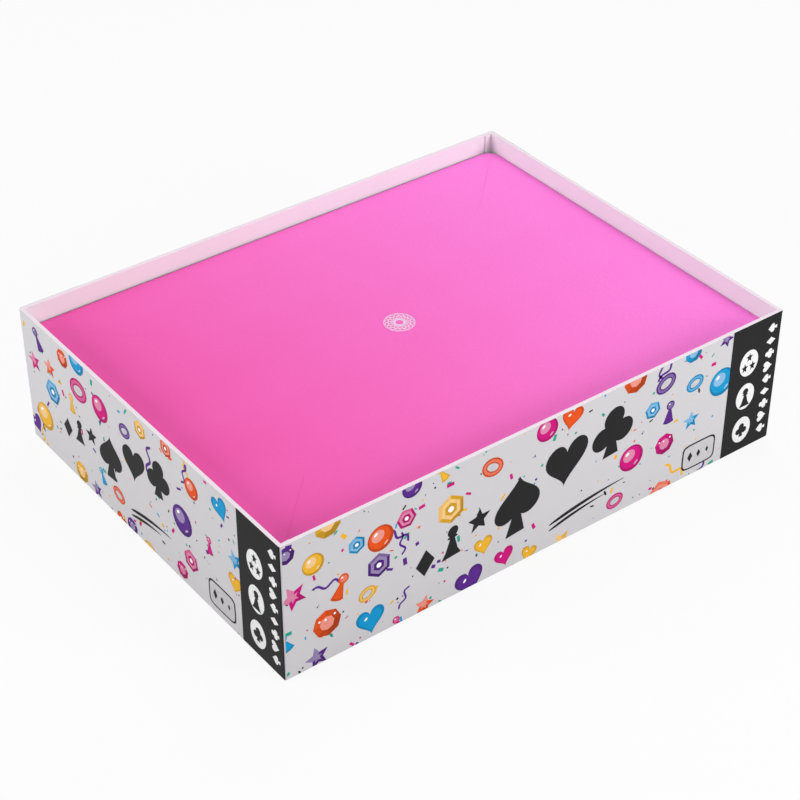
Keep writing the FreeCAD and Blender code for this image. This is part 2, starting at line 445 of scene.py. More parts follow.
def at_height(height):
    """A test for points at that height."""
    return lambda point: abs(point.z - height) < TOUCHING


def cut_at(shape, point, direction, clear=True):
    """Cuts the shape at a plane, and takes off what lies beyond it unless that stays."""
    return bmesh.ops.bisect_plane(
        shape, geom=shape.verts[:] + shape.edges[:] + shape.faces[:], dist=CUT_TOLERANCE,
        plane_co=point, plane_no=direction, clear_outer=clear,
    )["geom_cut"]


def cut_away(shape, point, direction):
    """Takes off what lies beyond the plane and closes the cut."""
    rim = only(bmesh.types.BMEdge, cut_at(shape, point, direction))
    bmesh.ops.holes_fill(shape, edges=rim, sides=0)


def crossing_cuts(shape, point, direction, offsets):
    """Rows of edges across a fold, where the piece would bend."""
    for offset in offsets:
        cut_at(shape, Vector(point) + Vector(direction) * offset, direction, False)


BEND_ROWS = [step * 0.3 * MM for step in range(-5, 6)]


def mat_blank(settings, low, high, reach=(0.0, 0.0)):
    """The whole mat's outline with its rounded corners, between two heights."""
    half = mat_half + Vector(reach)
    shape = block((-half.x, -half.y, low), (half.x, half.y, high))
    upright = edges_where(
        shape,
        lambda p: abs(abs(p.x) - half.x) < TOUCHING and abs(abs(p.y) - half.y) < TOUCHING,
    )
    soften(shape, upright, settings.corner_radius + reach[0], 10)
    return shape


def lining_blank(settings):
    """The velvet before it is cut: a sheet whose free edge is rounded over."""
    reach = (settings.pile_ends, settings.pile_sides)
    shape = mat_blank(settings, lining_low, mat_high, reach)
    soften(shape, edges_where(shape, at_height(mat_high)), settings.lining_edge, 3)
    return shape


def cover_blank(settings):
    """The faux leather before it is cut: a sheet turned up round the board at its free edge."""
    shape = mat_blank(settings, mat_low, lining_low)
    soften(shape, edges_where(shape, at_height(mat_low)), settings.cover_edge, 3)
    top = max(shape.faces, key=lambda face: face.calc_center_median().z)
    bmesh.ops.inset_region(shape, faces=[top], thickness=settings.cover_lip, use_even_offset=True)
    drop = Vector((0, 0, cover_high - lining_low))
    bmesh.ops.translate(shape, verts=top.verts[:], vec=drop)
    return shape


def groove_fold(shape, settings, plane, quarters):
    """Presses a fine line into the lining's upper edge along a fold."""
    point, direction = turned(plane, quarters)
    direction.normalize()

    def on_fold(p):
        return abs((p - point).dot(direction)) < TOUCHING and at_height(mat_high)(p)

    soften(shape, edges_where(shape, on_fold), settings.groove, 2)


def region_piece(blank, planes, quarters):
    """A copy of the blank cut to the region within the planes, which are given for the front."""
    shape = blank.copy()
    for plane in planes:
        cut_away(shape, *turned(plane, quarters))
    return shape


def side_measures(quarters):
    """Along a side: the fold's half length, its distance out, and the wall's half length."""
    along, across = (crease.x, crease.y) if quarters % 2 == 0 else (crease.y, crease.x)
    return along, across, wall_end.x if quarters % 2 == 0 else wall_end.y


def pinch_plane(settings, way, along, across, height):
    """The diagonal fold at one end of a side, between two half ears."""
    return (way * (along - settings.seam * math.sqrt(2)), -across, height), (way, 1, 0)


class TRAY_OT_lining(bpy.types.Operator):
    """Makes the velvet lining: base, four walls and eight half ears"""

    bl_idname = "tray.lining"
    bl_label = "Velvet lining"

    def execute(self, context):
        settings = context.scene.tray_mat
        velvet = velvet_material(settings)
        blank = lining_blank(settings)
        base = block((-crease.x, -crease.y, lining_low), (crease.x, crease.y, mat_high))
        soften(base, edges_where(base, at_height(mat_high)), settings.groove, 2)
        self.keep("mat_base", base, velvet, (2 * crease.x, 2 * crease.y), 1.0)
        for quarters, (side, ends) in enumerate(SIDES):
            along, across, end = side_measures(quarters)
            near = end - settings.tuck
            reach = mat_half.y - crease.y
            fold = ((0, -across, mat_high), (0, 1, 0))
            wall = region_piece(
                blank, [fold, ((near, 0, 0), (1, 0, 0)), ((-near, 0, 0), (-1, 0, 0))], quarters
            )
            groove_fold(wall, settings, fold, quarters)
            self.keep(f"{side}_wall", wall, velvet, (2 * near, reach), 1.0)
            for way, end_name in zip((-1, 1), ends):
                pinch = pinch_plane(settings, way, along, across, mat_high)
                inner = ((way * near, 0, 0), (-way, 0, 0))
                ear = region_piece(blank, [fold, inner, pinch], quarters)
                groove_fold(ear, settings, fold, quarters)
                groove_fold(ear, settings, pinch, quarters)
                hinge, outward = turned(((way * end, 0, 0), (way, 0, 0)), quarters)
                crossing_cuts(ear, hinge, outward, BEND_ROWS)
                for vert in ear.verts:
                    on_hinge = abs((vert.co - hinge).dot(outward)) < TOUCHING
                    if on_hinge and at_height(mat_high)(vert.co):
                        vert.co.z -= settings.groove / 2
                body = f"{side}_ear_{end_name}"
                piece = self.keep(body, ear, velvet, (reach + settings.tuck, reach), 0.55, False)
                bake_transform(piece)
        blank.free()
        return {"FINISHED"}

    def keep(self, body, shape, velvet, flat, share, rides=True):
        bmesh.ops.remove_doubles(shape, verts=shape.verts[:], dist=TOUCHING)
        bmesh.ops.recalc_face_normals(shape, faces=shape.faces[:])
        piece = finished(f"velvet_{body}", shape, velvet, 5)
        if rides:
            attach(piece, body)
        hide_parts(f"{body}_lining")
        return piece


class TRAY_OT_cover(bpy.types.Operator):
    """Makes the faux leather cover: base, four walls and eight half ears"""

    bl_idname = "tray.cover"
    bl_label = "Faux leather cover"

    def execute(self, context):
        settings = context.scene.tray_mat
        leather = leather_material(settings)
        blank = cover_blank(settings)
        self.keep("mat_base", self.base_sheet(settings), leather, (2 * crease.x, 2 * crease.y), 1.0)
        reach = mat_half.y - crease.y
        for quarters, (side, ends) in enumerate(SIDES):
            along, across, end = side_measures(quarters)
            fold, outward = turned(((0, -across, mat_high), (0, -1, 0)), quarters)
            inner_edge = ((0, -across + settings.tuck, 0), (0, 1, 0))
            wall = region_piece(
                blank, [inner_edge, ((end, 0, 0), (1, 0, 0)), ((-end, 0, 0), (-1, 0, 0))], quarters
            )
            crossing_cuts(wall, fold, outward, BEND_ROWS)
            flat = (2 * end, reach + settings.tuck)
            piece = self.keep(f"{side}_wall", wall, leather, flat, 1.0, False)
            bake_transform(piece)
            for way, end_name in zip((-1, 1), ends):
                tip = ((0, -across - settings.tip_relief, 0), (0, 1, 0))
                inner = ((way * (end + settings.hair), 0, 0), (-way, 0, 0))
                pinch = pinch_plane(settings, way, along, across, 0)
                ear = region_piece(blank, [tip, inner, pinch], quarters)
                self.keep(f"{side}_ear_{end_name}", ear, leather, (reach, reach), 0.55)
        blank.free()
        return {"FINISHED"}

    def base_sheet(self, settings):
        """The middle sheet, notched along its sides where the walls' sheets reach in."""
        corners = []
        for quarters in range(4):
            along, across, end = side_measures(quarters)
            turn = quarter_turn(quarters)
            deep = -across + settings.tuck
            row = [(-along, -across), (-end, -across), (-end, deep), (end, deep), (end, -across)]
            corners += [turn @ Vector((x, y, mat_low)) for x, y in row]
        shape = bmesh.new()
        sheet = shape.faces.new([shape.verts.new(corner) for corner in corners])
        pulled = bmesh.ops.extrude_face_region(shape, geom=[sheet], use_keep_orig=True)
        lifted = only(bmesh.types.BMVert, pulled["geom"])
        bmesh.ops.translate(shape, verts=lifted, vec=(0, 0, cover_high - mat_low))
        return shape

    def keep(self, body, shape, leather, flat, share, rides=True):
        bmesh.ops.recalc_face_normals(shape, faces=shape.faces[:])
        piece = finished(f"leather_{body}", shape, leather)
        if rides:
            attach(piece, body)
        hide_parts(f"{body}_cover")
        return piece


class TRAY_OT_stiffening(bpy.types.Operator):
    """Finishes the mat's boards and the magnets in its half ears"""

    bl_idname = "tray.stiffening"
    bl_label = "Boards and magnets"

    def execute(self, context):
        papers = context.scene.tray_papers
        board = paper_material("greyboard_pulp_mat", papers.board, 0.85, 0.16)
        nickel = metal_material("nickel_plate", papers.nickel, 0.25)
        for node in frame["nodes"]:
            if node.endswith("_board") and node != "box_board":
                dress(node, board)
            elif node.endswith("_magnet"):
                dress(node, nickel)
        return {"FINISHED"}


class TRAY_OT_foil(bpy.types.Operator):
    """Presses a rosette of fine foil lines into the middle of the velvet"""

    bl_idname = "tray.foil"
    bl_label = "Foil rosette"

    def execute(self, context):
        settings = context.scene.tray_mat
        foil = metal_material("foil_silver", settings.foil, 0.3)
        shape = bmesh.new()
        radius = settings.foil_width / 2
        line = 0.4 * MM
        petals, waist, step = 8, 0.32, 4e-6
        for petal in range(petals):
            turn = Matrix.Rotation(petal * math.pi / petals, 4, "Z")
            lift = mat_high + (petal + 1) * step
            self.ring(shape, turn, radius - line, radius * waist, line, lift)
        straight = Matrix.Identity(4)
        hoops = (1.0, 0.74, 0.3)
        for share in hoops:
            self.ring(shape, straight, radius * share, radius * share, line, mat_high)
        bmesh.ops.translate(shape, verts=shape.verts[:], vec=Vector(settings.foil_at))
        bmesh.ops.recalc_face_normals(shape, faces=shape.faces[:])
        piece = finished("foil_rosette", shape, foil, 0)
        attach(piece, "mat_base")
        return {"FINISHED"}

    def ring(self, shape, turn, long_radius, short_radius, line, level):
        """A flat oval line, half of its thickness sunk into the velvet."""
        thickness = 0.06 * MM
        made = bmesh.ops.create_circle(shape, segments=40, radius=1.0)
        outer = made["verts"]
        bmesh.ops.scale(shape, verts=outer, vec=(long_radius, short_radius, 1))
        loop = list({edge for vert in outer for edge in vert.link_edges})
        pulled = bmesh.ops.extrude_edge_only(shape, edges=loop)["geom"]
        inner = only(bmesh.types.BMVert, pulled)
        shrink = ((long_radius - line) / long_radius, (short_radius - line) / short_radius, 1)
        bmesh.ops.scale(shape, verts=inner, vec=shrink)
        band = only(bmesh.types.BMFace, pulled)
        raised = bmesh.ops.extrude_face_region(shape, geom=band, use_keep_orig=True)["geom"]
        upper = only(bmesh.types.BMVert, raised)
        bmesh.ops.translate(shape, verts=upper, vec=(0, 0, thickness))
        place = Matrix.Translation((0, 0, level - thickness / 2)) @ turn
        bmesh.ops.transform(shape, matrix=place, verts=outer + inner + upper)


class TRAY_OT_papers(bpy.types.Operator):
    """Finishes the box's board, tapes, wrap, label, liner and insert, and laps its inside corners"""

    bl_idname = "tray.papers"
    bl_label = "Box papers"

    def execute(self, context):
        papers = context.scene.tray_papers
        wrap = wrap_material(papers)
        dress("printed_wrap", wrap)
        dress("inner_liner", paper_material("liner_paper", papers.liner))
        dress("base_label", paper_material("label_paper", papers.liner))
        dress("card_insert", paper_material("insert_card", papers.card, 0.65, 0.05))
        dress("box_board", paper_material("greyboard_pulp", papers.board, 0.85, 0.16))
        dress("corner_stays", paper_material("stay_tape", papers.tape, 0.7, 0.08))
        laps = finished("inside_corner_laps", self.corner_laps(papers), wrap)
        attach(laps, "box")
        return {"FINISHED"}

    def corner_laps(self, papers):
        """A strip of the wrap at both ends of the two long walls, its free edge standing off."""
        inner = self.inner_walls()
        below_rim, edge_rounding = 0.4 * MM, 0.03 * MM
        shape = bmesh.new()
        size = (papers.lap_width, papers.lap_thickness, papers.lap_depth)
        for x_way in (-1, 1):
            for y_way in (-1, 1):
                middle = (
                    x_way * (inner.x - papers.lap_width / 2),
                    y_way * (inner.y - papers.lap_thickness / 2),
                    box_high.z - below_rim - papers.lap_depth / 2,
                )
                place = Matrix.Translation(middle) @ Matrix.Diagonal((*size, 1))
                lap = bmesh.ops.create_cube(shape, size=1.0, matrix=place)
                for vert in lap["verts"]:
                    if abs(vert.co.x) < inner.x - MM:
                        vert.co.y -= y_way * papers.lap_lift
        soften(shape, shape.edges[:], edge_rounding, 1)
        return shape

    def inner_walls(self):
        """How far the inner faces of the wrap stand from the middle."""
        above_mat = box_high.z - 8 * MM
        points = [vert.co for vert in frame["nodes"]["printed_wrap"].data.vertices]
        top = [p for p in points if p.z > above_mat]
        return Vector((min(abs(p.x) for p in top), min(abs(p.y) for p in top)))


# The print on the outer faces

SUNK_FILMS = 3  # how many films deep the print's foot lies in the wrap
SPARK = (0.95, 0.95, 0.95)
BADGE_WHITE = (0.86, 0.85, 0.86)
TIME_BOX_IN = 0.050  # from a face's right end to the middle of its time box
TIME_BOX_UP = 0.0125
TRIES = 4000  # of a place for a motif, on each face
# How many of each lie on a long face; a short face has its share.
MOTIFS, STREAMERS, PAPER_BITS, SPECKS = 44, 9, 40, 190


def oval(t):
    return math.cos(t), math.sin(t)


def heart(t):
    wave = 13 * math.cos(t) - 5 * math.cos(2 * t) - 2 * math.cos(3 * t) - math.cos(4 * t)
    return math.sin(t) ** 3, (wave + 2.5) / 15


def spade(t):
    x, y = heart(t)
    return x * 0.92, 0.16 - y * 0.84


def star(t):
    reach = 1.0 if round(t / (math.pi / 5)) % 2 == 0 else 0.46
    return reach * math.sin(t), reach * math.cos(t)


def rhombus(t):
    return 0.72 * math.cos(t), math.sin(t)


def rounded_box(t):
    x, y = math.cos(t), math.sin(t)
    power = 0.35
    return math.copysign(abs(x) ** power, x), math.copysign(abs(y) ** power, y)


def square(t):
    return math.sqrt(2) * math.cos(t + math.pi / 4), math.sqrt(2) * math.sin(t + math.pi / 4)


def bell(t):
    """The body of a pawn: wide at its foot and narrow at its neck."""
    x, y = math.cos(t), math.sin(t)
    width = 0.62 if y < -0.8 else 0.3 - 0.22 * y
    return math.copysign(min(abs(x) * 1.4, 1.0), x) * width, y * 0.72 - 0.25


def stem(t):
    x, y = square(t)
    return x * (0.09 if y > 0 else 0.34), y * 0.46 - 0.52


def stroke(t):
    """A brush stroke that rises, bends and thins to its two ends."""
    x = math.cos(t)
    return x, 0.16 * x - 0.1 * x * x + 0.075 * math.sin(t) * (1 - 0.6 * x)


def ribbon(t):
    """A paper streamer: a narrow band along a wave, out along one edge and back along the other."""
    there = t <= math.pi
    along = t / math.pi if there else 2 - t / math.pi
    waves = 3.2 * math.pi
    swing = 0.1 + 0.16 * along
    slope = swing * waves * math.cos(waves * along) / 2
    side = (0.085 if there else -0.085) / math.hypot(1, slope)
    return 2 * along - 1 - side * slope, swing * math.sin(waves * along) + side


OUTLINES = {
    "oval": (oval, 22),
    "disc": (oval, 40),
    "octagon": (oval, 8),
    "hexagon": (oval, 6),
    "heart": (heart, 44),
    "spade": (spade, 48),
    "star": (star, 10),
    "rhombus": (rhombus, 4),
    "box": (rounded_box, 24),
    "square": (square, 4),
    "bell": (bell, 20),
    "stem": (stem, 4),
    "stroke": (stroke, 32),
    "ribbon": (ribbon, 60),
    "triangle": (oval, 3),
}


class Press:
    """Lays films of ink on one face of the box, in that face's own x and y from its lower left."""

    def __init__(self, settings):
        self.shape = bmesh.new()
        self.ink = self.shape.faces.layers.float_color.new("ink")
        self.relief = settings.relief

    def film(self, outline, colour, at, size, turn=0.0, level=1, lean=0.0, facets=None):
        """One closed film: size is its half width and half height, level how many films up."""
        path, segments = OUTLINES[outline]
        made = bmesh.ops.create_circle(
            self.shape, cap_ends=True, cap_tris=False, segments=segments, radius=1.0
        )
        verts = made["verts"]
        for index, vert in enumerate(verts):
            x, y = path(index * 2 * math.pi / segments)
            vert.co = (x * size[0], y * size[1], 0)
        under = verts[0].link_faces[0]
        pulled = bmesh.ops.extrude_face_region(self.shape, geom=[under], use_keep_orig=True)
        lifted = only(bmesh.types.BMVert, pulled["geom"])
        top = only(bmesh.types.BMFace, pulled["geom"])[0]
        height = self.relief * (level + SUNK_FILMS)
        bmesh.ops.translate(self.shape, verts=lifted, vec=(0, 0, height))
        faces = {face for vert in verts + lifted for face in vert.link_faces}
        for face in faces:
            face[self.ink] = opaque(colour)
        if facets:
            self.cut_facets(top, colour, *facets)
        faces = {face for vert in verts + lifted for face in vert.link_faces} | faces
        points = {vert for face in faces if face.is_valid for vert in face.verts}
        shear = Matrix.Identity(4)
        shear[0][1] = lean
        sink = Matrix.Translation((at[0], at[1], -SUNK_FILMS * self.relief))
        place = sink @ Matrix.Rotation(turn, 4, "Z") @ shear
        bmesh.ops.transform(self.shape, matrix=place, verts=list(points))

    def cut_facets(self, top, colour, share, tones):
        """Cuts the film's top like a stone: a table in the middle and facets round it."""
        centre = top.calc_center_median()
        around = [face for edge in top.edges for face in edge.link_faces if face is not top]
        bmesh.ops.inset_region(self.shape, faces=[top], thickness=0, depth=0)
        for vert in top.verts:
            vert.co = centre + (vert.co - centre) * share
        ring = {face for vert in top.verts for face in vert.link_faces} - {top} - set(around)
        for face in ring:
            out = face.calc_center_median() - centre
            angle = (math.atan2(out.y, out.x) - 2.2) / math.pi
            tone = tones[int(abs((angle + 1) % 2 - 1) * len(tones)) % len(tones)]
            face[self.ink] = opaque(shaded(colour, tone))
        top[self.ink] = opaque(shaded(colour, 0.22))

    def trim(self, planes):
        for point, direction in planes:
            cut_away(self.shape, point, direction)


def layers(press, colour, at, size, level, rows):
    """Films of one motif, in shares of its size. One that has no tone is a white spark."""
    for outline, tone, place, half, turn, up in rows:
        ink = SPARK if tone is None else shaded(colour, tone)
        middle = (at[0] + place[0] * size, at[1] + place[1] * size)
        press.film(outline, ink, middle, (size * half[0], size * half[1]), turn, level + up)


def spark(press, at, size, reach, angle, half, turn, level):
    """A white spark that far from the motif's middle, at an angle."""
    spot = (at[0] + reach * size * math.cos(angle), at[1] + reach * size * math.sin(angle))
    press.film("oval", SPARK, spot, (size * half[0], size * half[1]), turn, level)


def marble(press, colour, at, size, turn, level):
    layers(press, colour, at, size, level, (
        ("oval", -0.35, (0, 0), (1, 1), 0, 0),
        ("oval", 0.0, (-0.08, 0.08), (0.84, 0.84), 0, 1),
        ("oval", 0.25, (-0.2, 0.24), (0.5, 0.46), 0.6, 2),
        ("oval", None, (-0.36, 0.42), (0.17, 0.1), 0.7, 3),
        ("oval", 0.4, (0.42, -0.5), (0.2, 0.07), 0.7, 3),
    ))


def gem(press, colour, at, size, turn, level):
    facets = (0.52, (-0.05, -0.2, -0.38, -0.5))
    press.film("octagon", colour, at, (size, size), turn, level, facets=facets)
    for reach, angle in ((0.3, 1.9), (0.62, 2.6), (0.72, 0.7)):
        spark(press, at, size, reach, angle, (0.08, 0.08), 0, level + 1)


def token(press, colour, at, size, turn, level):
    facets = (0.74, (0.1, -0.25, -0.45))
    press.film("hexagon", colour, at, (size, size), turn, level, facets=facets)
    layers(press, colour, at, size, level, (
        ("hexagon", -0.3, (0, 0), (0.46, 0.46), turn, 1),
        ("oval", None, (0, 0), (0.2, 0.2), 0, 2),
    ))


def bright_star(press, colour, at, size, turn, level):
    facets = (0.42, (0.2, -0.1, -0.32))
    press.film("star", colour, at, (size, size), turn, level, facets=facets)


def bright_heart(press, colour, at, size, turn, level):
    layers(press, colour, at, size, level, (
        ("heart", -0.25, (0, 0), (1, 1), turn, 0),
        ("heart", 0.0, (0, 0), (0.8, 0.8), turn, 1),
    ))
    spark(press, at, size, 0.46, turn + 2.3, (0.14, 0.08), turn + 0.7, level + 2)


def pawn(press, colour, at, size, turn, level):
    layers(press, colour, at, size, level, (
        ("bell", -0.25, (0, 0), (1, 1), turn, 0),
        ("bell", 0.0, (0, 0), (0.66, 0.84), turn, 1),
    ))
    reach = 0.62 * size
    head = (at[0] - reach * math.sin(turn), at[1] + reach * math.cos(turn))
    layers(press, colour, head, size, level, (
        ("oval", -0.15, (0, 0), (0.38, 0.38), turn, 2),
        ("oval", 0.12, (0, 0), (0.27, 0.27), turn, 3),
        ("oval", None, (-0.1, 0.12), (0.08, 0.06), turn, 4),
    ))


def hoop(press, colour, at, size, turn, level, ground):
    layers(press, colour, at, size, level, (
        ("oval", -0.25, (0, 0), (1, 0.8), turn, 0),
        ("oval", 0.1, (0, 0), (0.86, 0.66), turn, 1),
        ("oval", -0.35, (0, 0), (0.64, 0.44), turn, 2),
    ))
    press.film("oval", ground, at, (size * 0.54, size * 0.34), turn, level + 3)


# The films of a silhouette: outline, place and half size in shares of the figure's size
SILHOUETTES = {
    "club": (
        ("disc", 0, 0.46, 0.44, 0.44),
        ("disc", -0.46, -0.18, 0.44, 0.44),
        ("disc", 0.46, -0.18, 0.44, 0.44),
        ("rhombus", 0, 0, 0.4, 0.4),
        ("stem", 0, -0.05, 1, 1),
    ),
    "spade": (("spade", 0, 0.1, 0.9, 0.9), ("stem", 0, -0.05, 1, 1)),
    "pawn": (
        ("bell", 0, 0, 1, 1),
        ("oval", 0, 0.3, 0.34, 0.1),
        ("disc", 0, 0.66, 0.34, 0.34),
        ("stem", 0, -0.15, 1.9, 0.85),
    ),
}


def silhouette(press, kind, colour, at, size, turn, level, lean=0.0):
    """A card suit, star or pawn in one flat colour, its films a little above one another."""
    rows = SILHOUETTES.get(kind, ((kind, 0, 0, 1, 1),))
    for step, (outline, dx, dy, width, height) in enumerate(rows):
        shift = Matrix.Rotation(turn, 2) @ Vector((dx * size + lean * dy * size, dy * size))
        place = (at[0] + shift.x, at[1] + shift.y)
        half = (width * size, height * size)
        press.film(outline, colour, place, half, turn, level + step * 0.4, lean)


FIGURES = (
    ("rhombus", 0.000, 0.029, 0.0075),
    ("pawn", 0.0155, 0.034, 0.0088),
    ("star", 0.031, 0.039, 0.0068),
    ("spade", 0.054, 0.037, 0.0165),
    ("heart", 0.083, 0.047, 0.0130),
    ("club", 0.112, 0.054, 0.0142),
)


def figure_places(width):
    """The black figures' kind, place and size on a face, their strokes' middle and the scale."""
    scale, start, rise = (1.0, 0.078, 1.0) if width > 0.25 else (0.78, 0.040, 0.92)
    lift = 0.008 * (1 - scale)
    places = [(kind, start + x * scale, lift + y * rise, size * scale) for kind, x, y, size in FIGURES]
    return places, start + 0.098 * scale, scale


class TRAY_OT_print(bpy.types.Operator):
    """Prints the four outer faces: scattered game pieces, silhouettes and the black strip"""

    bl_idname = "tray.print"
    bl_label = "Printed faces"

    def execute(self, context):
        settings = context.scene.tray_print
        film = ink_material()
        for quarters, (side, _) in enumerate(SIDES):
            width = 2 * (box_high.x if quarters % 2 == 0 else box_high.y)
            depth = box_high.y if quarters % 2 == 0 else box_high.x
            chance = random.Random(settings.seed + quarters)
            press = Press(settings)
            self.scatter(press, settings, context.scene.tray_papers, chance, width)
            self.figures(press, settings, width)
            self.time_box(press, settings, context.scene.tray_papers, width)
            edge, rim, foot = 1.0 * MM, box_high.z - PRINT_RIM, 0.95 * MM
            strip = width - settings.strip_width
            press.trim([
                ((edge, 0, 0), (-1, 0, 0)),
                ((strip + MM, 0, 0), (1, 0, 0)),
                ((0, rim, 0), (0, 1, 0)),
                ((0, foot, 0), (0, -1, 0)),
            ])
            self.badges(press, settings, width)
            place = (
                quarter_turn(quarters)
                @ Matrix.Translation((-width / 2, -depth, 0))
                @ Matrix.Rotation(math.pi / 2, 4, "X")
            )
            bmesh.ops.transform(press.shape, matrix=place, verts=press.shape.verts[:])
            bmesh.ops.recalc_face_normals(press.shape, faces=press.shape.faces[:])
            inked = finished(f"print_{side}", press.shape, film, 0)
            strip_piece = self.strip(settings, side, quarters, width, depth, film)
            for piece in (inked, strip_piece):
                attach(piece, "box")
        return {"FINISHED"}

    def strip(self, settings, side, quarters, width, depth, film):
        """The black strip: that part of the wrap's outer skin, raised by a film's thickness."""
        shape = bmesh.new()
        shape.from_mesh(frame["nodes"]["printed_wrap"].data)
        bmesh.ops.remove_doubles(shape, verts=shape.verts[:], dist=TOUCHING)
        corner = (width / 2 - MM, -depth + MM, 0)
        below_rim, above_foot, skin = 0.12 * MM, 0.5 * MM, 1.05 * MM
        planes = [
            ((width / 2 - settings.strip_width, 0, 0), (-1, 0, 0)),
            (corner, (1, 1, 0)),
            ((0, 0, box_high.z - below_rim), (0, 0, 1)),
            ((0, 0, above_foot), (0, 0, -1)),
            ((0, -depth + skin, 0), (0, 1, 0)),
        ]
        for plane in planes:
            cut_at(shape, *turned(plane, quarters))
        outward = turned((corner, (0, -1, 0)), quarters)[1]
        back = [face for face in shape.faces if face.normal.dot(outward) < 0.3]
        bmesh.ops.delete(shape, geom=back, context="FACES")
        ink = shape.faces.layers.float_color.new("ink")
        raised = 6 * settings.relief
        for vert in shape.verts:
            vert.normal_update()
        for vert, normal in [(vert, vert.normal.copy()) for vert in shape.verts]:
            vert.co += normal * raised
        bmesh.ops.solidify(shape, geom=shape.faces[:], thickness=raised * 1.5)
        for face in shape.faces:
            face[ink] = opaque(settings.black)
        return finished(f"strip_{side}", shape, film)

    def scatter(self, press, settings, papers, chance, width):
        """Motifs that keep clear of one another and of the black figures, and paper bits between."""
        inks = (settings.magenta, settings.blue, settings.yellow, settings.orange, settings.purple)
        kinds = (marble, gem, token, bright_star, bright_heart, pawn, hoop)
        figures, end, scale = figure_places(width)
        kept = [(x, y, size * 1.05) for _, x, y, size in figures]
        kept += [(end + step * 0.01 * scale, 0.0165 + step * 0.0016, 0.004) for step in range(-2, 3)]
        kept.append((width - TIME_BOX_IN, TIME_BOX_UP, 0.0125))
        right = width - settings.strip_width
        share = right / (2 * box_high.x)

        def anywhere():
            return chance.uniform(0, right), chance.uniform(0, box_high.z)

        placed = []
        for _ in range(TRIES):
            size = chance.uniform(settings.motif_smallest, settings.motif_largest) / 2
            x = chance.uniform(-0.002, right)
            y = chance.uniform(-0.002, box_high.z + 0.001)
            near = any(math.hypot(x - a, y - b) < size + s + MM for a, b, s in kept + placed)
            if not near and len(placed) < MOTIFS * share:
                placed.append((x, y, size))
        for index, (x, y, size) in enumerate(placed):
            kind = kinds[index % len(kinds)]
            colour = inks[(index * 3 + index // 7) % len(inks)]
            turn = chance.uniform(-0.6, 0.6)
            ground = (papers.ground,) if kind is hoop else ()
            kind(press, colour, (x, y), size, turn, 3, *ground)
        for _ in range(round(STREAMERS * share)):
            at = anywhere()
            size = chance.uniform(6.0, 9.0) * MM
            colour = chance.choice((settings.yellow, settings.purple))
            press.film("ribbon", colour, at, (size, size), chance.uniform(-2, 2), 2)
        paper_inks = (settings.yellow, settings.teal, settings.magenta, settings.purple)
        for _ in range(round(PAPER_BITS * share)):
            at = anywhere()
            size = (chance.uniform(1.0, 2.2) * MM, chance.uniform(0.6, 1.1) * MM)
            turn = chance.uniform(0, math.pi)
            press.film("square", chance.choice(paper_inks), at, size, turn, 1)
        specks = inks + (settings.teal, settings.teal, settings.black, settings.black)
        for _ in range(round(SPECKS * share)):
            at = anywhere()
            colour = chance.choice(specks)
            shape = chance.choice(("oval", "square", "triangle", "square"))
            size = chance.uniform(0.3, 0.7) * MM
            stretch = chance.choice((1.0, 1.0, 2.6))
            turn = chance.uniform(0, math.pi)
            press.film(shape, colour, at, (size * stretch, size), turn, 1)

    def figures(self, press, settings, width):
        """Black silhouettes on a rising line, with two brush strokes under them."""
        places, end, scale = figure_places(width)
        for kind, x, y, size in places:
            silhouette(press, kind, settings.black, (x, y), size, 0.1, 8, 0.16)
        press.film("stroke", settings.black, (end, 0.0185), (0.024 * scale, 0.012), 0.06, 8)
        press.film(
            "stroke", settings.black, (end - 0.006 * scale, 0.0145), (0.018 * scale, 0.010), 0.08, 8
        )

    def time_box(self, press, settings, papers, width):
        """A rounded outline with three plain rhombs in it."""
        at = (width - TIME_BOX_IN, TIME_BOX_UP)
        press.film("box", settings.black, at, (0.0112, 0.0078), 0, 8)
        press.film("box", papers.ground, at, (0.0103, 0.0069), 0, 9)
        for index in range(3):
            place = (at[0] - 0.0058 + index * 0.0058, at[1])
            size = (0.0034 - index * 0.0007) * 0.7
            press.film("rhombus", settings.black, place, (size, size * 1.3), 0, 10)

    def badges(self, press, settings, width):
        """White ovals with small figures, and a column of card suits beside them."""
        middle = width - 0.0205
        half = (settings.badge_height * 0.4, settings.badge_height / 2)
        for index, y in enumerate((0.0547, 0.0343, 0.0136)):
            press.film("disc", BADGE_WHITE, (middle, y), half, 0, 8)
            if index == 0:
                for x, up in ((0, 0.0033), (-0.0026, -0.0024), (0.0026, -0.0024)):
                    press.film(
                        "star", settings.black, (middle + x, y + up), (0.0023, 0.0029), 0, 9
                    )
            elif index == 1:
                silhouette(press, "pawn", settings.black, (middle, y - 0.0006), 0.0055, 0, 9)
            else:
                silhouette(press, "club", settings.black, (middle, y), 0.0042, 0, 9)
        suits = ("spade", "heart", "club", "rhombus")
        for index in range(9):
            at = (width - 0.0065, 0.0085 + index * 0.0077)
            silhouette(press, suits[index % 4], BADGE_WHITE, at, 0.0031, math.pi / 2, 8)


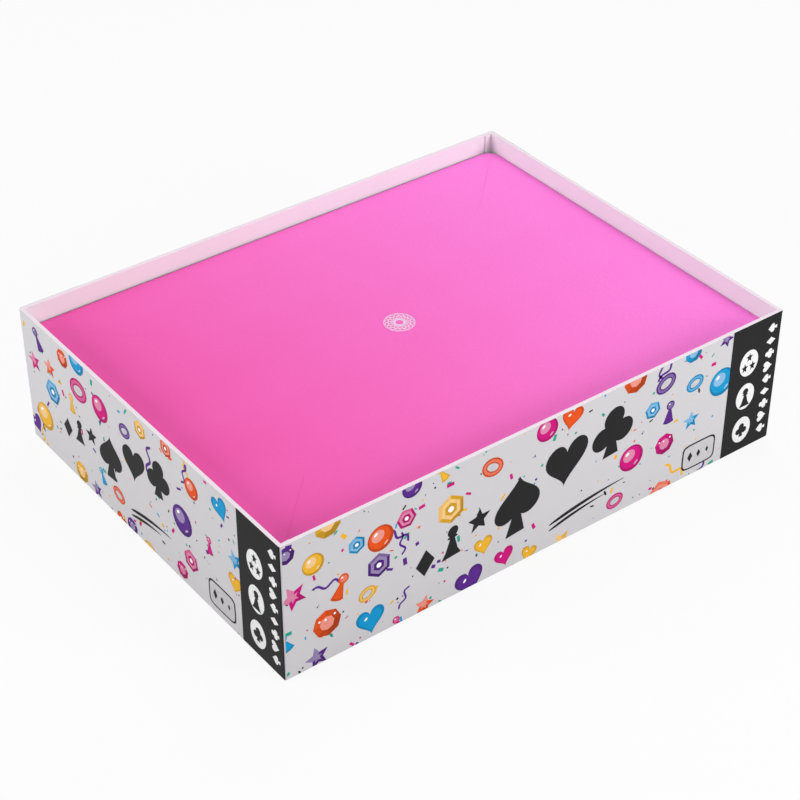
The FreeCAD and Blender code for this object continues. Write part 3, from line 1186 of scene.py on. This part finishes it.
class TRAY_OT_studio(bpy.types.Operator):
    """Sets the camera, the white floor and the soft lamps"""

    bl_idname = "tray.studio"
    bl_label = "Studio"

    def execute(self, context):
        settings = context.scene.tray_studio
        scene = context.scene
        camera = bpy.data.objects.new("camera", bpy.data.cameras.new("camera"))
        camera.data.lens = settings.lens
        camera.data.sensor_width = 36
        camera.data.clip_end = 50
        self.aim(camera, settings.camera_at, Vector(settings.look_along))
        scene.camera = camera
        scene.view_settings.view_transform = "Standard"
        self.floor(settings)
        self.surround(settings)
        self.lamp("back_lamp", (0.4, 0.3, 1.15), settings.back_power)
        self.lamp("right_lamp", (0.4, -1.0, 0.45), settings.right_power)
        self.lamp("left_lamp", (-1.0, 0.35, 0.45), settings.left_power)
        return {"FINISHED"}

    def aim(self, thing, place, along):
        thing.location = place
        thing.rotation_mode = "QUATERNION"
        thing.rotation_quaternion = along.to_track_quat("-Z", "Y")
        bpy.context.scene.collection.objects.link(thing)

    def to_camera(self, tree, seen, unseen):
        """The first shader where a camera, gloss or glass looks at it, the second elsewhere."""
        path = tree.nodes.new("ShaderNodeLightPath")
        total = path.outputs["Is Camera Ray"]
        for ray in ("Is Glossy Ray", "Is Transmission Ray"):
            total = compute(tree, "MAXIMUM", total, path.outputs[ray])
        mix = tree.nodes.new("ShaderNodeMixShader")
        tree.links.new(total, mix.inputs["Fac"])
        tree.links.new(unseen, mix.inputs[1])
        tree.links.new(seen, mix.inputs[2])
        return mix.outputs["Shader"]

    def floor(self, settings):
        shape = bmesh.new()
        below = Matrix.Translation((0, 0, -0.1 * MM))
        half = settings.floor_size / 2
        bmesh.ops.create_grid(shape, x_segments=1, y_segments=1, size=half, matrix=below)
        made, tree, _ = material("studio_floor", 0.9, Specular_IOR_Level=0.0)
        shader = tree.nodes["Principled BSDF"]
        shader.inputs["Base Color"].default_value = (0.82, 0.82, 0.82, 1.0)
        glow = add_node(tree, "ShaderNodeEmission", Strength=1.0)
        lifted = add_node(tree, "ShaderNodeMixShader", Fac=0.9)
        tree.links.new(shader.outputs["BSDF"], lifted.inputs[1])
        tree.links.new(glow.outputs["Emission"], lifted.inputs[2])
        surface = self.to_camera(tree, lifted.outputs["Shader"], shader.outputs["BSDF"])
        tree.links.new(surface, tree.nodes["Material Output"].inputs["Surface"])
        finished("studio_floor", shape, made, 0)

    def surround(self, settings):
        world = bpy.data.worlds.new("studio")
        bpy.context.scene.world = world
        world.use_nodes = True
        tree = world.node_tree
        dim = tree.nodes["Background"]
        dim.inputs["Strength"].default_value = settings.fill
        dim.inputs["Color"].default_value = (1, 1, 1, 1)
        bright = add_node(tree, "ShaderNodeBackground", Strength=1.0, Color=(1, 1, 1, 1))
        surface = self.to_camera(tree, bright.outputs["Background"], dim.outputs["Background"])
        tree.links.new(surface, tree.nodes["World Output"].inputs["Surface"])

    def lamp(self, name, place, power):
        """A round soft lamp that shines on the box's middle."""
        light = bpy.data.lights.new(name, "AREA")
        light.shape = "DISK"
        light.size = 0.5
        light.energy = power
        middle = Vector((0, 0, 0.05))
        self.aim(bpy.data.objects.new(name, light), place, middle - Vector(place))


class TRAY_PT_sidebar(bpy.types.Panel):
    """Lists the steps of the dice tray"""

    bl_idname = "TRAY_PT_sidebar"
    bl_label = "Dice tray"
    bl_space_type = "VIEW_3D"
    bl_region_type = "UI"
    bl_category = "Dice tray"

    def draw(self, context):
        for group in GROUPS:
            settings = getattr(context.scene, group)
            for name in settings.bl_rna.properties.keys():
                if name not in ("rna_type", "name"):
                    self.layout.prop(settings, name)
        for operator in OPERATORS:
            self.layout.operator(operator.bl_idname)


GROUPS = {
    "tray_papers": TRAY_PG_papers,
    "tray_print": TRAY_PG_print,
    "tray_mat": TRAY_PG_mat,
    "tray_studio": TRAY_PG_studio,
}
OPERATORS = (
    TRAY_OT_studio,
    TRAY_OT_papers,
    TRAY_OT_print,
    TRAY_OT_lining,
    TRAY_OT_cover,
    TRAY_OT_stiffening,
    TRAY_OT_foil,
)


def register():
    for kind in (*GROUPS.values(), *OPERATORS, TRAY_PT_sidebar):
        bpy.utils.register_class(kind)
    for name, group in GROUPS.items():
        setattr(bpy.types.Scene, name, bpy.props.PointerProperty(type=group))


def unregister():
    for name in GROUPS:
        delattr(bpy.types.Scene, name)
    for kind in reversed((*GROUPS.values(), *OPERATORS, TRAY_PT_sidebar)):
        bpy.utils.unregister_class(kind)


def main():
    register()
    bpy.ops.tray.studio()
    bpy.ops.tray.papers()
    bpy.ops.tray.print()
    bpy.ops.tray.lining()
    bpy.ops.tray.cover()
    bpy.ops.tray.stiffening()
    bpy.ops.tray.foil()


if __name__ == "__main__":
    main()
